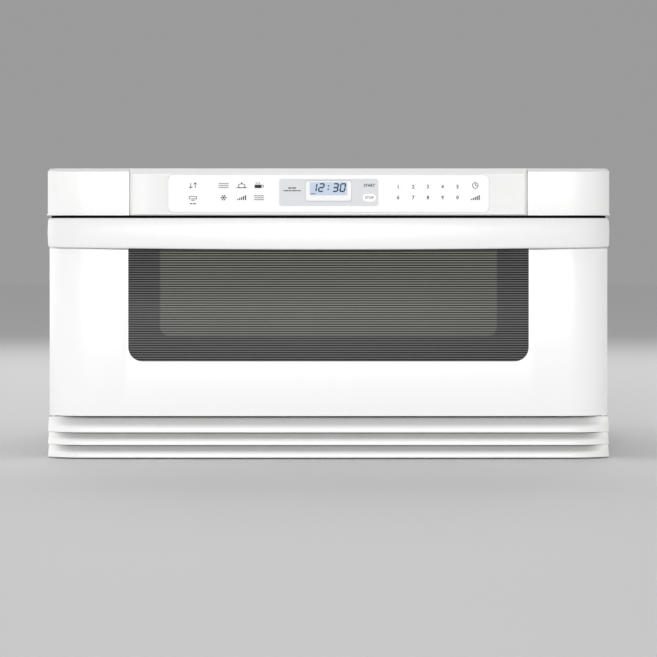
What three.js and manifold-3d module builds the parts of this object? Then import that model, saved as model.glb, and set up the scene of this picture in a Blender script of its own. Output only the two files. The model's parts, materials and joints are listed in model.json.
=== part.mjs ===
// A built-in microwave drawer for a 30 inch cabinet, in millimetres: +Z up, the front faces -Y.
// The origin is on the base, midway across, in the plane of the cabinet's face.
import * as THREE from "three";
import { mergeVertices } from "three/addons/utils/BufferGeometryUtils.js";
import Module from "manifold-3d";

const wasm = await Module();
wasm.setup();

// Face, seen from the front
const faceWidth = 760; // over the corner trims and the louvre's tips
const faceStandOff = 50; // cabinet face to the front of the corner trims
const cornerRadius = 75;
const cornerTurn = Math.PI / 4;
const frontCrown = 1.5;
const louvreBottom = 2;
const louvrePitch = 17;
const louvreTopBlade = 20.5;
const louvreReveal = 1.4;
const drawerHeight = 267.7;
const stripReveal = 3;
const stripHeight = 63.4;
const drawerInset = 2.2; // drawer panel behind the trims' face, and inside their width
const trimWall = 2.5;
const gap = 0.3; // between pieces that touch

// Casing
const bodyWidth = 712;
const topOverlap = 20; // trims above the casing's top
const bodyDepth = 590;
const sheet = 1;
const panLip = 26;
const panNose = 14; // base pan ahead of the cabinet's face
const flangeOverlap = 16; // mounting flange beyond the casing's side
const frameThickness = 1.5;
const flangeStep = 0.2; // mounting flange behind the rest of the frame, so that it alone meets the cabinet

// Drawer bin and the fixed cavity round it
const binWidth = 437;
const binDepth = 410;
const binFloorTop = 125;
const binWallTop = 288;
const binWall = 1.5;
const floorGlass = 5;
const floorLedge = 12;
const binSideClearance = 4.5;
const binFloorClearance = 4;
const binRearClearance = 8;
const cavityCeiling = 298;
const cavityWall = 1;
const drawerTravel = 380;
const slideOverlap = 40; // length of slide still held with the drawer out

// Drawer front
const drawerSkin = 1.5;
const drawerReturn = 3; // drawer skin's rear edge ahead of the cabinet's face
const windowHalf = 270;
const windowBottom = 131.7;
const windowTop = 300;
const windowCorner = 19;
const glassThickness = 3;
const viewHalf = 227;
const viewBottom = 165.7;
const viewTop = 288;
const viewCorner = 13;
const frameHalf = 330;
const frameFront = 43;
const frameBack = 16;
const chokeHalf = 254;
const chokeBottom = 90;
const chokeTop = 321;
const chokeBack = 2.5;

// Handle
const handleHeight = 40;
const handleReach = 31; // ahead of the trims' face at the middle
const handleBow = 18;
const handleSide = 1.3; // inside the trims' width
const handleWall = 3.2;
const handleArch = 2.8;
const handleBossHalf = 6;
const handleBossX = 262;

// Control strip
const controlHalf = 267.5;
const controlProud = 3.5;
const seam = 0.8;
const inlayHalf = 215.8;
const inlayMargin = 4.2; // inlay above the strip's lower edge
const inlayHeight = 50.2;
const inlayCorner = 7;
const membraneThickness = 0.7;
const lensHalf = 31;
const lensHeight = 27.4;
const lensCorner = 4;
const lensMargin = 19.3; // lens above the strip's lower edge
const boardHalf = 200;
const boardThickness = 1.6;

// Slides
const slideHeight = 45.7;
const slideWidth = 12.7;
const slideCentreZ = 103;
const slideArmX = 264; // outer face of the drawer's arm
const armThickness = 1.5;
const armHeight = 44;

// Microwave source and cooling
const antennaY = 189;
const wellRadius = 78;
const wellDepth = 16;
const guideWidth = 90;
const guideHeight = 40;
const magnetronY = 470;
const magnetronWidth = 90;
const fanRadius = 64;
const fanY = 484;
const fanZ = 152;
const transformerRear = 100; // ahead of the casing's back
const filterRear = 90;
const guideRunOn = 60; // waveguide ahead of the stirrer's shaft
const yokeHeight = 72;

// Worked out from the above
const faceHalf = faceWidth / 2;
const bodyHalf = bodyWidth / 2;
const faceY = -faceStandOff;
const beyondFace = faceHalf + 20; // for cuts that run past the face's ends
const louvreTop = louvreBottom + 2 * louvrePitch + louvreTopBlade;
const drawerBottom = louvreTop + louvreReveal;
const drawerTop = drawerBottom + drawerHeight;
const stripBottom = drawerTop + stripReveal;
const stripTop = stripBottom + stripHeight;
const bodyHeight = stripTop - topOverlap;
const slideLength = drawerTravel + slideOverlap;
const frameTopZ = stripTop - 4;
const frameFaceY = -frameThickness;
const binHalf = binWidth / 2;
const binOuterHalf = binHalf + binWall;
const binFront = -frameBack + gap;
const binBack = -frameBack + binDepth;
const binUnderside = binFloorTop - floorGlass - gap - binWall;
const cavityHalf = binOuterHalf + binSideClearance;
const cavityFloor = binUnderside - binFloorClearance;
const cavityBack = binBack + binWall + binRearClearance;
const wellUnderside = cavityFloor - wellDepth - cavityWall;
const guideTop = wellUnderside - gap;
const guideBottom = guideTop - guideHeight;
const controlFaceY = faceY - controlProud;

const paint = { color: 0xf6f6f4, roughness: 0.3, metalness: 0 };
const plastic = { color: 0xf4f4f2, roughness: 0.4, metalness: 0 };
const greyPlastic = { color: 0xb9bcc0, roughness: 0.5, metalness: 0 };
const darkPlastic = { color: 0x2b2c2e, roughness: 0.5, metalness: 0 };
const glassDark = { color: 0x4b4b49, roughness: 0.08, metalness: 0.1 };
const ceramic = { color: 0xd9d8d0, roughness: 0.35, metalness: 0 };
const steel = { color: 0xa9acae, roughness: 0.35, metalness: 0.9 };
const iron = { color: 0x55565a, roughness: 0.6, metalness: 0.7 };
const copper = { color: 0xb0683a, roughness: 0.4, metalness: 0.8 };
const boardGreen = { color: 0x2f6b45, roughness: 0.6, metalness: 0 };

const group = new THREE.Group();

// ---- solids ----

function solid(geometry) {
  const bare = geometry.index ? geometry.toNonIndexed() : geometry.clone();
  bare.deleteAttribute("normal");
  bare.deleteAttribute("uv");
  const merged = mergeVertices(bare, 1e-3);
  // Faces that meet are given the same coordinates to the last digit
  const vertProperties = new Float32Array(merged.attributes.position.array).map(
    (v) => Math.round(v * 1000) / 1000,
  );
  const triVerts = new Uint32Array(merged.index.array);
  const made = new wasm.Manifold(new wasm.Mesh({ numProp: 3, vertProperties, triVerts }));
  if (made.volume() > 0) return made;
  for (let i = 0; i < triVerts.length; i += 3) {
    [triVerts[i + 1], triVerts[i + 2]] = [triVerts[i + 2], triVerts[i + 1]];
  }
  return new wasm.Manifold(new wasm.Mesh({ numProp: 3, vertProperties, triVerts }));
}

const join = (first, ...rest) => rest.reduce((sum, part) => sum.add(part), first);
const cut = (first, ...rest) => rest.reduce((left, part) => left.subtract(part), first);

function box(x0, x1, y0, y1, z0, z1) {
  const geometry = new THREE.BoxGeometry(x1 - x0, y1 - y0, z1 - z0);
  return solid(geometry.translate((x0 + x1) / 2, (y0 + y1) / 2, (z0 + z1) / 2));
}

// A cylinder from a low to a high coordinate along "x", "y" or "z", centred on the two others
function rod(along, radius, low, high, centre, sides = 20) {
  const geometry = new THREE.CylinderGeometry(radius, radius, high - low, sides);
  geometry.translate(0, (low + high) / 2, 0);
  if (along === "z") geometry.rotateX(Math.PI / 2).translate(centre[0], centre[1], 0);
  if (along === "y") geometry.translate(centre[0], 0, centre[1]);
  if (along === "x") geometry.rotateZ(-Math.PI / 2).translate(0, centre[0], centre[1]);
  return solid(geometry);
}

// A plate in the XZ plane with rounded corners, from y0 to y1
function roundedPlate(x0, x1, z0, z1, corner, y0, y1) {
  const outline = new THREE.Shape();
  outline.moveTo(x0 + corner, z0);
  outline.lineTo(x1 - corner, z0);
  outline.absarc(x1 - corner, z0 + corner, corner, -Math.PI / 2, 0);
  outline.lineTo(x1, z1 - corner);
  outline.absarc(x1 - corner, z1 - corner, corner, 0, Math.PI / 2);
  outline.lineTo(x0 + corner, z1);
  outline.absarc(x0 + corner, z1 - corner, corner, Math.PI / 2, Math.PI);
  outline.lineTo(x0, z0 + corner);
  outline.absarc(x0 + corner, z0 + corner, corner, Math.PI, 1.5 * Math.PI);
  const options = { depth: y1 - y0, bevelEnabled: false, curveSegments: 6 };
  const geometry = new THREE.ExtrudeGeometry(outline, options);
  return solid(geometry.rotateX(Math.PI / 2).translate(0, y1, 0));
}

// A closed solid through rings of points: each ring has as many points, the ends are capped
function loft(rings, firstOutline, lastOutline = firstOutline) {
  const count = rings[0].length;
  const position = [];
  const triangle = (a, b, c) => position.push(...a, ...b, ...c);
  const backwards = THREE.ShapeUtils.isClockWise(firstOutline);
  const order = [...Array(count).keys()];
  if (backwards) order.reverse();
  const ordered = rings.map((ring) => order.map((i) => ring[i]));
  for (let r = 0; r + 1 < ordered.length; r += 1) {
    for (let i = 0; i < count; i += 1) {
      const next = (i + 1) % count;
      triangle(ordered[r][i], ordered[r][next], ordered[r + 1][next]);
      triangle(ordered[r][i], ordered[r + 1][next], ordered[r + 1][i]);
    }
  }
  const capped = (outline, ring, turned) => {
    const flat = order.map((i) => outline[i]);
    for (const [a, b, c] of THREE.ShapeUtils.triangulateShape(flat, [])) {
      if (turned) triangle(ring[c], ring[b], ring[a]);
      else triangle(ring[a], ring[b], ring[c]);
    }
  };
  capped(firstOutline, ordered[0], true);
  capped(lastOutline, ordered[ordered.length - 1], false);
  const geometry = new THREE.BufferGeometry();
  geometry.setAttribute("position", new THREE.Float32BufferAttribute(position, 3));
  return solid(geometry);
}

// ---- the face in plan ----

// Stations of the face from its left rear edge round to its right one, or from x = from to x = to.
// Each holds the direction in which a skin there is offset outwards.
function facePath({ half = faceHalf, front = faceY, back = 0, bow = frontCrown, from, to, marks = [] }) {
  const left = from ?? -half;
  const right = to ?? half;
  const firstFlat = half - cornerRadius * Math.sin(cornerTurn);
  const startTurn = Math.atan((2 * bow) / firstFlat);
  const flatHalf = half - cornerRadius * (Math.sin(cornerTurn) - Math.sin(startTurn));
  const stations = [];
  const add = (x, y, angle, length = 1) => {
    const side = length * Math.sin(angle);
    stations.push({ x, y, outX: side, outY: -length * Math.cos(angle), turn: Math.abs(angle) });
  };
  const frontAt = (x) => front + bow * (x / flatHalf) ** 2;
  const leanAt = (x) => Math.atan((2 * bow * x) / flatHalf ** 2);
  const centreX = flatHalf - cornerRadius * Math.sin(startTurn);
  const centreY = frontAt(flatHalf) + cornerRadius * Math.cos(startTurn);
  const corner = (side) => {
    const steps = 6;
    const arc = [];
    for (let i = 1; i < steps; i += 1) {
      const angle = startTurn + ((cornerTurn - startTurn) * i) / steps;
      const x = centreX + cornerRadius * Math.sin(angle);
      arc.push([side * x, centreY - cornerRadius * Math.cos(angle), side * angle, 1]);
    }
    const edge = (cornerTurn + Math.PI / 2) / 2;
    const edgeY = centreY - cornerRadius * Math.cos(cornerTurn);
    arc.push([side * half, edgeY, side * edge, 1 / Math.cos(edge - cornerTurn)]);
    arc.push([side * half, back, (side * Math.PI) / 2, 1]);
    return side < 0 ? arc.reverse() : arc;
  };
  if (left <= -half) corner(-1).forEach((place) => add(...place));
  const start = Math.max(left, -flatHalf);
  const end = Math.min(right, flatHalf);
  const steps = 10;
  const xs = [...Array(steps + 1).keys()].map((i) => start + ((end - start) * i) / steps);
  const inside = marks.filter((x) => x > start && x < end);
  const all = [...xs, ...inside].sort((a, b) => a - b);
  all.forEach((x) => add(x, frontAt(x), leanAt(x)));
  if (right >= half) corner(1).forEach((place) => add(...place));
  return stations;
}

// A block whose plan is the face's, closed at the back by y = back. Its levels say, from the lowest up,
// how far the face is offset outwards at each height; either may depend on x.
function faceBlock(path, levels, back = 0) {
  const valueAt = (value, x) => (typeof value === "function" ? value(x) : value);
  const rings = levels.map(([z, out]) => {
    const ring = path.map((s) => {
      const reach = valueAt(out, s.x);
      return [s.x + reach * s.outX, s.y + reach * s.outY, valueAt(z, s.x)];
    });
    const first = ring[0];
    const last = ring[ring.length - 1];
    if (first[1] < back - 1e-6) ring.unshift([first[0], back, first[2]]);
    if (last[1] < back - 1e-6) ring.push([last[0], back, last[2]]);
    return ring;
  });
  const flat = (ring) => ring.map((p) => new THREE.Vector2(p[0], p[1]));
  return loft(rings, flat(rings[0]), flat(rings[rings.length - 1]));
}

// A closed profile of [out, z] points carried along the face's plan; a function gives it for each station
function faceSweep(path, profile) {
  const profileAt = (s) => (typeof profile === "function" ? profile(s) : profile);
  const outlineAt = (s) => profileAt(s).map(([out, z]) => new THREE.Vector2(z, out));
  const ringAt = (s) => profileAt(s).map(([out, z]) => [s.x + out * s.outX, s.y + out * s.outY, z]);
  return loft(path.map(ringAt), outlineAt(path[0]), outlineAt(path[path.length - 1]));
}

function piece(name, made, look, place = [0, 0, 0], parent = group) {
  const mesh = made.getMesh();
  const position = [];
  for (let i = 0; i < mesh.numVert; i += 1) {
    position.push(...mesh.vertProperties.slice(i * mesh.numProp, i * mesh.numProp + 3));
  }
  const geometry = new THREE.BufferGeometry();
  geometry.setAttribute("position", new THREE.Float32BufferAttribute(position, 3));
  geometry.setIndex([...mesh.triVerts]);
  geometry.computeVertexNormals();
  const material = new THREE.MeshStandardMaterial(look);
  const shown = new THREE.Mesh(geometry, material);
  shown.name = name;
  shown.position.set(...place);
  parent.add(shown);
}

const sides = [
  ["left", -1],
  ["right", 1],
];
const between = (a, b) => [Math.min(a, b), Math.max(a, b)];

// A box whose x range is given on the right and mirrored for the left
const sideBox = (side, x0, x1, ...rest) => box(...between(side * x0, side * x1), ...rest);

// ---- corner trims and control strip ----

function cornerTrim(side) {
  const bevel = 4.3;
  const lip = 1.3;
  const inner = controlHalf + seam;
  const span = (near, far) => (side < 0 ? { from: -far, to: -near } : { from: near, to: far });
  const outer = faceBlock(facePath(span(inner, faceHalf)), [
    [stripBottom, lip],
    [stripBottom + 2.2, lip],
    [stripBottom + 2.2, 0],
    [stripTop - bevel, 0],
    [stripTop, -bevel],
  ]);
  const hollow = faceBlock(
    facePath({ ...span(inner + trimWall, faceHalf), back: 1 }),
    [
      [stripBottom + trimWall, -trimWall],
      [stripTop - bevel - 1, -trimWall],
      [stripTop - trimWall, -bevel - trimWall],
    ],
    1,
  );
  const flangeRoom = box(-faceHalf, faceHalf, frameFaceY - gap, 1, stripBottom - 1, frameTopZ + gap);
  return cut(outer, hollow, cut(flangeRoom, box(...flangeKeep(side))));
}

// The trim's outer skirt reaches the cabinet past the mounting flange
function flangeKeep(side) {
  const [x0, x1] = between(side * (bodyHalf + flangeOverlap + gap), side * (faceHalf + 1));
  return [x0, x1, frameFaceY - 1, 2, stripBottom - 2, stripTop];
}

sides.forEach(([name, side]) => piece(`${name}_corner_trim`, cornerTrim(side), plastic));

const stripBack = frameFaceY - gap;
const controlPath = facePath({
  from: -controlHalf,
  to: controlHalf,
  back: stripBack,
  marks: [-controlHalf + controlProud, controlHalf - controlProud],
});
const proudAt = (x, proud) => Math.min(proud, controlHalf - Math.abs(x));
const controlLevels = [
  [stripBottom, (x) => proudAt(x, controlProud - 1.5)],
  [stripBottom + 1.5, (x) => proudAt(x, controlProud)],
  [stripTop - 7.4, (x) => proudAt(x, controlProud)],
  [stripTop, -1.5],
];
const inlayBottom = stripBottom + inlayMargin;
const lensBottom = stripBottom + lensMargin;
const lensTop = lensBottom + lensHeight;

// A layer of the control panel's face, between two offsets, cut to a rounded outline
function faceLayer(half, z0, z1, corner, inner, outer) {
  const path = facePath({ from: -controlHalf, to: controlHalf, back: stripBack });
  const level = (out) => [
    [z0 - 5, out],
    [z1 + 5, out],
  ];
  const layer = cut(faceBlock(path, level(outer), stripBack), faceBlock(path, level(inner), stripBack));
  return layer.intersect(roundedPlate(-half, half, z0, z1, corner, controlFaceY - 10, faceY + 10));
}

const boardZ0 = stripBottom + 6;
const boardZ1 = stripTop - 7;
const boardY = faceY + 12;
const postX = boardHalf - 8;
const posts = [-postX, postX].flatMap((x) =>
  [boardZ0 + 8, boardZ1 - 8].map((z) => rod("y", 4, faceY - controlProud / 3, boardY - gap, [x, z], 12)),
);
const controlHollow = faceBlock(
  facePath({ from: -controlHalf + trimWall, to: controlHalf - trimWall, back: 1 }),
  [
    [stripBottom + trimWall, controlProud - membraneThickness - trimWall],
    [stripTop - 9, controlProud - membraneThickness - trimWall],
    [stripTop - trimWall, -4],
  ],
  1,
);
const inlayCut = faceLayer(
  inlayHalf + gap,
  inlayBottom - gap,
  inlayBottom + inlayHeight + gap,
  inlayCorner,
  controlProud - membraneThickness - gap,
  controlProud + 3,
);
const lensCut = roundedPlate(
  -lensHalf - gap,
  lensHalf + gap,
  lensBottom - gap,
  lensTop + gap,
  lensCorner,
  controlFaceY - 5,
  boardY,
);
piece(
  "control_bezel",
  join(cut(faceBlock(controlPath, controlLevels, stripBack), controlHollow, inlayCut, lensCut), ...posts),
  plastic,
);
const inlayTop = inlayBottom + inlayHeight;
const membraneOuter = controlProud + 0.1;
const membraneInner = controlProud - membraneThickness;
piece(
  "keypad_membrane",
  cut(faceLayer(inlayHalf, inlayBottom, inlayTop, inlayCorner, membraneInner, membraneOuter), lensCut),
  plastic,
);
const lensBack = controlProud - membraneThickness - trimWall;
piece(
  "display_lens",
  faceLayer(lensHalf, lensBottom, lensTop, lensCorner, lensBack, membraneOuter),
  { ...glassDark, color: 0xdfe8ee },
);
const lcdFront = faceY - lensBack + gap;
piece(
  "lcd_module",
  box(-lensHalf - 4, lensHalf + 4, lcdFront, boardY - gap, lensBottom - 4, lensTop + 2),
  { ...glassDark, color: 0xc5d2df },
);
const board = box(-boardHalf, boardHalf, boardY, boardY + boardThickness, boardZ0, boardZ1);
const relayX = boardHalf - 45;
piece(
  "control_board",
  join(
    board,
    box(relayX, relayX + 22, boardY, boardY + 20, boardZ0 + 10, boardZ0 + 28),
    box(-relayX, 50 - relayX, boardY, boardY + 24, boardZ0 + 8, boardZ0 + 42),
    rod("y", 8, boardY, boardY + 22, [0, boardZ0 + 20], 14),
  ),
  boardGreen,
);

// ---- louvre ----

const bladeLean = 1.5; // at the ends, where a blade has no recess
const bladeRecess = 14; // depth of the recess above a blade's lip
const bladeThickness = 2;
const bladeSlot = 1.4;
const bladeTail = 4;
const louvreFlange = 22;
const recessFullTurn = Math.PI / 6; // turn of the corner up to which the recess is at its deepest
// A blade from its tip up: share of the recess's depth, and share of the blade's height
const bladeCurve = [
  [0, 0],
  [0.02, 0.26],
  [0.09, 0.4],
  [0.25, 0.56],
  [0.57, 0.78],
  [1, 1],
];
const louvrePath = facePath({ back: stripBack });

// A chain of [out, z] points, closed by the same chain moved inwards
function thickChain(points, thickness) {
  const inner = points.map(([out, z], i) => {
    const before = points[Math.max(i - 1, 0)];
    const after = points[Math.min(i + 1, points.length - 1)];
    const along = new THREE.Vector2(after[0] - before[0], after[1] - before[1]).normalize();
    return [out - thickness * along.y, z + thickness * along.x];
  });
  return [...points, ...inner.reverse()];
}

// The blade's curve between two heights, and behind it one more point: a tail, or the flange
function louvreBlade(bottom, top, behind) {
  return faceSweep(louvrePath, ({ turn }) => {
    const share = THREE.MathUtils.clamp((cornerTurn - turn) / (cornerTurn - recessFullTurn), 0, 1);
    const depth = THREE.MathUtils.lerp(bladeLean, bladeRecess, share);
    const curve = bladeCurve.map(([out, up]) => [-depth * out, bottom + (top - bottom) * up]);
    return thickChain([...curve, behind(depth)], bladeThickness);
  });
}
const topBlade = louvreBlade(louvreBottom + 2 * louvrePitch, louvreTop, () => [-louvreFlange, louvreTop]);
const lowBlades = [0, 1].map((i) => {
  const bottom = louvreBottom + i * louvrePitch;
  const top = bottom + louvrePitch - bladeSlot;
  return louvreBlade(bottom, top, (depth) => [-depth - bladeTail, top + bladeTail]);
});
const louvreRibs = [];
const ribSpread = 280;
const ribCount = 7;
for (let i = 0; i < ribCount; i += 1) {
  const x = -ribSpread + (2 * ribSpread * i) / (ribCount - 1);
  const ribFront = faceY + frontCrown + bladeRecess + bladeThickness;
  louvreRibs.push(box(x - 1, x + 1, ribFront, stripBack, louvreBottom + 1, louvreTop - 1));
}
piece("louvre_grille", join(topBlade, ...lowBlades, ...louvreRibs), plastic);

// ---- drawer front ----

const panelHalf = faceHalf - drawerInset;
const panelY = faceY + drawerInset;
const panelPath = (back) => facePath({ half: panelHalf, front: panelY, back });
const panelBlock = faceBlock(
  panelPath(-drawerReturn),
  [
    [drawerBottom, -1],
    [drawerBottom + 1, 0],
    [drawerTop - 1, 0],
    [drawerTop, -1],
  ],
  -drawerReturn,
);
const panelHollow = faceBlock(
  panelPath(1),
  [
    [drawerBottom + drawerSkin, -drawerSkin],
    [drawerTop - drawerSkin, -drawerSkin],
  ],
  1,
);
const windowCut = roundedPlate(
  -windowHalf,
  windowHalf,
  windowBottom,
  windowTop,
  windowCorner,
  panelY - 5,
  -frameFront,
);
piece("drawer_front_panel", cut(panelBlock, panelHollow, windowCut), paint);

const glassPath = facePath({
  half: panelHalf,
  front: panelY,
  from: -windowHalf - 5,
  to: windowHalf + 5,
});
const glassLevel = (out) => [
  [windowBottom - 5, out],
  [windowTop + 5, out],
];
const glassEdge = windowHalf - gap;
piece(
  "window_glass",
  cut(faceBlock(glassPath, glassLevel(-0.3)), faceBlock(glassPath, glassLevel(-glassThickness - 0.3))).intersect(
    roundedPlate(
      -glassEdge,
      glassEdge,
      windowBottom + gap,
      windowTop - gap,
      windowCorner,
      panelY - 5,
      0,
    ),
  ),
  glassDark,
);

const frameZ0 = drawerBottom + drawerSkin + gap;
const frameZ1 = drawerTop - drawerSkin - gap;
const viewHole = (grow, y0, y1) =>
  roundedPlate(
    -viewHalf - grow,
    viewHalf + grow,
    viewBottom - grow,
    viewTop + grow,
    viewCorner + grow,
    y0,
    y1,
  );
piece(
  "drawer_inner_frame",
  cut(
    box(-frameHalf, frameHalf, -frameFront, -frameBack, frameZ0, frameZ1),
    box(
      -frameHalf + sheet,
      frameHalf - sheet,
      -frameFront - 1,
      -frameBack - sheet,
      frameZ0 + sheet,
      frameZ1 - sheet,
    ),
    viewHole(-8, -frameBack - 2 * sheet, -frameBack + 1),
  ),
  steel,
);
const screenBack = -frameBack - sheet - gap;
piece(
  "screen_panel",
  roundedPlate(
    -viewHalf - 4,
    viewHalf + 4,
    viewBottom - 4,
    viewTop + 4,
    viewCorner,
    screenBack - 0.8,
    screenBack,
  ),
  steel,
);
const innerWindowHalf = binHalf - 2;
const innerBack = binFront + 3;
piece(
  "inner_window",
  box(-innerWindowHalf, innerWindowHalf, binFront, innerBack, binFloorTop + 1, binWallTop - 1),
  { ...glassDark, color: 0x8c8c86 },
);
piece(
  "choke_cover",
  cut(
    roundedPlate(-chokeHalf, chokeHalf, chokeBottom, chokeTop, 12, binFront, -chokeBack),
    box(
      -binOuterHalf - gap,
      binOuterHalf + gap,
      binFront - 1,
      1,
      binUnderside - gap,
      binWallTop + 2,
    ),
  ),
  greyPlastic,
);

// ---- handle ----

const handleHalf = faceHalf - handleSide;
const handleY = faceY - handleReach;
const handleBottom = drawerTop - handleHeight;
const handlePath = facePath({ half: handleHalf, front: handleY, back: 0, bow: handleBow });
const archedBottom = (x) => handleBottom - handleArch * (1 - (x / handleHalf) ** 2);
const handleOuter = faceBlock(handlePath, [
  [archedBottom, -2.2],
  [(x) => archedBottom(x) + 1.2, -0.7],
  [(x) => archedBottom(x) + 4, 0],
  [handleBottom + handleHeight * 0.55, 0.5],
  [drawerTop - 4, -0.2],
  [drawerTop - 1.2, -1.4],
  [drawerTop, -3],
]);
const handleRoof = drawerTop - handleWall;
const handleHollow = faceBlock(
  facePath({ half: handleHalf, front: handleY, back: 10, bow: handleBow }),
  [
    [handleBottom - 10, -handleWall],
    [handleRoof, -handleWall],
  ],
  10,
);
const panelRoom = faceBlock(
  panelPath(20),
  [
    [drawerBottom, gap],
    [drawerTop + 5, gap],
  ],
  20,
);
const handleEnds = [-1, 1].map((side) => sideBox(side, handleHalf - 12, beyondFace, -90, 10, 0, drawerTop + 5));
const handleBosses = [-1, 1].map((side) =>
  sideBox(side, handleBossX - handleBossHalf, handleBossX + handleBossHalf, -90, 10, handleBottom + 6, 400),
);
const gripRoom = cut(handleHollow, ...handleEnds, ...handleBosses);
const behindHandle = box(-beyondFace, beyondFace, -faceStandOff * 0.6, 20, handleBottom - 20, drawerTop + 5);
piece("handle_bar", cut(handleOuter, gripRoom, panelRoom, behindHandle), paint);

// ---- drawer bin ----

const binBox = box(
  -binOuterHalf,
  binOuterHalf,
  binFront,
  binBack + binWall,
  binUnderside,
  binWallTop,
);
const glassSeat = binUnderside + binWall;
piece(
  "drawer_bin",
  cut(
    binBox,
    box(-binHalf, binHalf, binFront - 1, binBack, glassSeat, binWallTop + 1),
    box(
      -binHalf + floorLedge,
      binHalf - floorLedge,
      binFront + floorLedge,
      binBack - floorLedge,
      binUnderside - 1,
      binWallTop,
    ),
  ),
  paint,
);
piece(
  "ceramic_floor",
  box(
    -binHalf + gap,
    binHalf - gap,
    innerBack + gap,
    binBack - gap,
    glassSeat + gap,
    binFloorTop,
  ),
  ceramic,
);

// ---- drawer arms and slides ----

const armBack = slideLength - 6;
const footWidth = 26;
const innerHeight = slideHeight - 21.7;
const middleHeight = slideHeight - 10.7;
function channel(side, x0, x1, height, webAtOuter, y0, y1) {
  const z0 = slideCentreZ - height / 2;
  const z1 = slideCentreZ + height / 2;
  const web = webAtOuter ? [x0 - 1, x1 - sheet] : [x0 + sheet, x1 + 1];
  return cut(
    sideBox(side, x0, x1, y0, y1, z0, z1),
    sideBox(side, ...web, y0 - 1, y1 + 1, z0 + sheet, z1 - sheet),
  );
}
const slideFront = 2;
const slideOuterX = slideArmX + gap + slideWidth;
const bracketX = slideOuterX + gap;
sides.forEach(([name, side]) => {
  const armX0 = slideArmX - armThickness;
  const armZ0 = slideCentreZ - armHeight / 2;
  const armZ1 = slideCentreZ + armHeight / 2;
  const blade = sideBox(side, armX0, slideArmX, binFront, armBack, armZ0, armZ1);
  const foot = sideBox(side, armX0, armX0 + footWidth, binFront, binFront + 1.5, armZ0, armZ1);
  piece(`${name}_drawer_arm`, join(blade, foot), steel);
  const innerX = slideArmX + gap;
  piece(
    `${name}_inner_slide`,
    channel(side, innerX, slideOuterX - 4, innerHeight, false, slideFront + 6, slideLength - 2),
    steel,
  );
  piece(
    `${name}_middle_slide`,
    channel(side, innerX + 1.7, slideOuterX - 1.6, middleHeight, true, slideFront + 2, slideLength),
    steel,
  );
  piece(
    `${name}_outer_slide`,
    channel(side, innerX + 0.3, slideOuterX, slideHeight, true, slideFront, slideLength + slideFront),
    steel,
  );
  const wall = sideBox(
    side,
    bracketX,
    bracketX + 1.5,
    slideFront,
    slideLength + 30,
    sheet + gap,
    slideCentreZ + slideHeight / 2,
  );
  const base = sideBox(side, bracketX, bracketX + 24, slideFront, slideLength + 30, sheet + gap, sheet + gap + 1.5);
  piece(`${name}_slide_bracket`, join(wall, base), steel);
});

// ---- interlocks ----

const latchX = 306;
const latchZ = 200;
const hookReach = 26;
const leverDrop = 22;
sides.forEach(([name, side]) => {
  const plate = box(-1.5, 1.5, binFront, hookReach, -8, 8);
  const base = box(-8, 8, binFront, binFront + 3, -12, 12);
  const notch = box(-2, 2, 12, 19, 2, 9);
  piece(`${name}_latch_hook`, cut(join(plate, base), notch), plastic, [side * latchX, 0, latchZ]);
  const hub = rod("x", 4.5, -4, 4, [0, 0], 16);
  const drop = box(-3, 3, -2.5, 2.5, -leverDrop, 0);
  const bore = rod("x", 2.3, -5, 5, [0, 0], 12);
  const leverZ = latchZ + leverDrop;
  const leverY = hookReach + 2.8;
  piece(`${name}_interlock_lever`, cut(join(hub, drop), bore), darkPlastic, [side * latchX, leverY, leverZ]);
  const pin = rod("x", 2, -9, 9, [leverY, leverZ], 12);
  const holder = cut(
    box(-12, 12, gap, 62, latchZ - 26, latchZ + 36),
    box(-9, 9, -1, 60, latchZ - 24, latchZ + 34),
  );
  const holderX = side * latchX;
  piece(`${name}_interlock_holder`, join(holder, pin), plastic, [holderX, 0, 0]);
  const switchBody = box(-5, 5, leverY + 5, leverY + 21, latchZ - 22, latchZ + 6);
  const stem = box(-1.5, 1.5, leverY + 2.8, leverY + 6, latchZ - 14, latchZ - 10);
  const seat = box(-8.7, 8.7, leverY + 12, leverY + 18, latchZ - 23.7, latchZ - 21);
  piece(`${name}_interlock_switch`, join(switchBody, stem, seat), darkPlastic, [holderX, 0, 0]);
});

// ---- casing ----

const panHalf = bodyHalf - sheet - gap;
const rearFace = bodyDepth - sheet;
piece(
  "base_pan",
  cut(
    box(-panHalf, panHalf, -panNose, rearFace - gap, 0, panLip),
    box(-panHalf + sheet, panHalf - sheet, -panNose - 1, rearFace - gap - sheet, sheet, panLip + 1),
    box(-panHalf - 1, panHalf + 1, -panNose - 1, 2, sheet, panLip + 1),
  ),
  steel,
);
piece(
  "outer_cover",
  cut(
    box(-bodyHalf, bodyHalf, gap, rearFace - gap, sheet, bodyHeight),
    box(-bodyHalf + sheet, bodyHalf - sheet, -1, rearFace + 1, -1, bodyHeight - sheet),
  ),
  steel,
);
const inletX = 270;
const inletZ = 60;
const inletRadius = 9;
const rearVents = [];
for (let row = 0; row < 5; row += 1) {
  for (const x of [-230, -150, -70, 70, 150]) {
    const z = fanZ - 40 + row * 18;
    rearVents.push(box(x - 28, x + 28, rearFace - 1, bodyDepth + 1, z, z + 6));
  }
}
piece(
  "rear_panel",
  cut(
    box(-bodyHalf, bodyHalf, rearFace, bodyDepth, sheet, bodyHeight),
    rod("y", inletRadius, rearFace - 1, bodyDepth + 1, [inletX, inletZ], 20),
    ...rearVents,
  ),
  steel,
);
piece(
  "cord_inlet_bush",
  cut(
    join(
      rod("y", inletRadius - gap, rearFace - 3, bodyDepth, [inletX, inletZ], 20),
      rod("y", inletRadius + 3, rearFace - 5, rearFace - gap, [inletX, inletZ], 20),
    ),
    rod("y", 4.5, rearFace - 6, bodyDepth + 1, [inletX, inletZ], 16),
  ),
  darkPlastic,
);

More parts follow.
